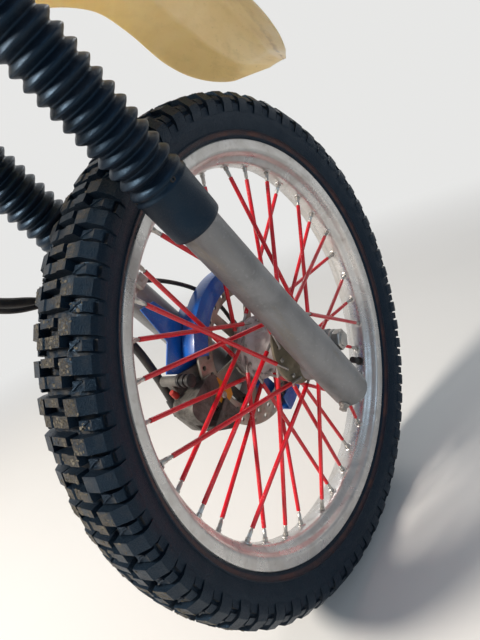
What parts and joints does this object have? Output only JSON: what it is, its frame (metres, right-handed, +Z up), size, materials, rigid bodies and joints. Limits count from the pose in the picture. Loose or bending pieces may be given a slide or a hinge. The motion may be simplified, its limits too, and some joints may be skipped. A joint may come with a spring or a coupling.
{
  "type": "dual sport motorcycle front end",
  "caption": "Motorcycle front end: spoked wheel with knobbly tyre, conventional telescopic fork with gaiters, disc brake with guard and high mudguard.",
  "frame": {"origin": "centre of the lower bearing seat's foot on the steering stem, at the top face of the lower clamp", "axes": "+X forward, +Y to the rider's left along the axle, +Z up with the motorcycle upright on level ground; the stem and fork lean back 27.5 degrees"},
  "size_m": [0.7683, 0.238, 1.0113],
  "materials": {
    "cast_alloy": "satin",
    "rim_alloy": "satin",
    "brake_alloy": "satin",
    "machined_steel": "satin",
    "drive_metal": "satin",
    "stanchion_chrome": "gloss",
    "cap_alloy": "satin",
    "disc_steel": "satin",
    "pad_material": "matte",
    "gaiter_rubber": "satin",
    "tyre_rubber": "matte",
    "sleeve_red": "gloss",
    "nipple_metal": "satin",
    "guard_blue": "gloss",
    "mudguard_cream": "gloss",
    "black_rubber": "satin",
    "bleed_cap_red": "matte"
  },
  "bodies": {
    "fork": {"lower_clamp": "cast_alloy", "upper_clamp": "cast_alloy", "handlebar_clamps": "cast_alloy", "slider_left": "cast_alloy", "slider_right": "cast_alloy", "brake_caliper": "brake_alloy", "caliper_bracket": "brake_alloy", "steering_stem": "machined_steel", "stem_nut": "machined_steel", "axle": "machined_steel", "axle_nut": "machined_steel", "axle_spacer": "machined_steel", "bracket_bolts": "machined_steel", "drain_bolts": "machined_steel", "mudguard_bolts": "machined_steel", "cord_guide": "machined_steel", "cord_holder": "machined_steel", "cable_clamp": "machined_steel", "speedometer_drive": "drive_metal", "stanchion_left": "stanchion_chrome", "stanchion_right": "stanchion_chrome", "fork_cap_left": "cap_alloy", "fork_cap_right": "cap_alloy", "brake_pads": "pad_material", "gaiter_left": "gaiter_rubber", "gaiter_right": "gaiter_rubber", "disc_guard": "guard_blue", "caliper_guard": "guard_blue", "mudguard": "mudguard_cream", "brake_hose": "black_rubber", "speedometer_cable": "black_rubber", "hose_union": "black_rubber", "pin_boots": "black_rubber", "bleed_screw": "bleed_cap_red"},
    "wheel": {"hub": "cast_alloy", "rim": "rim_alloy", "tyre": "tyre_rubber", "spokes": "machined_steel", "spoke_sleeves": "sleeve_red", "nipples": "nipple_metal", "valve_stem": "machined_steel", "brake_disc": "disc_steel", "disc_bolts": "machined_steel"}
  },
  "joints": [
    {"name": "wheel_spin", "type": "hinge", "parent": "fork", "child": "wheel", "pos_m": [0.31428, 0, -0.45646], "axis": [0, 1, 0], "continuous": true}
  ]
}
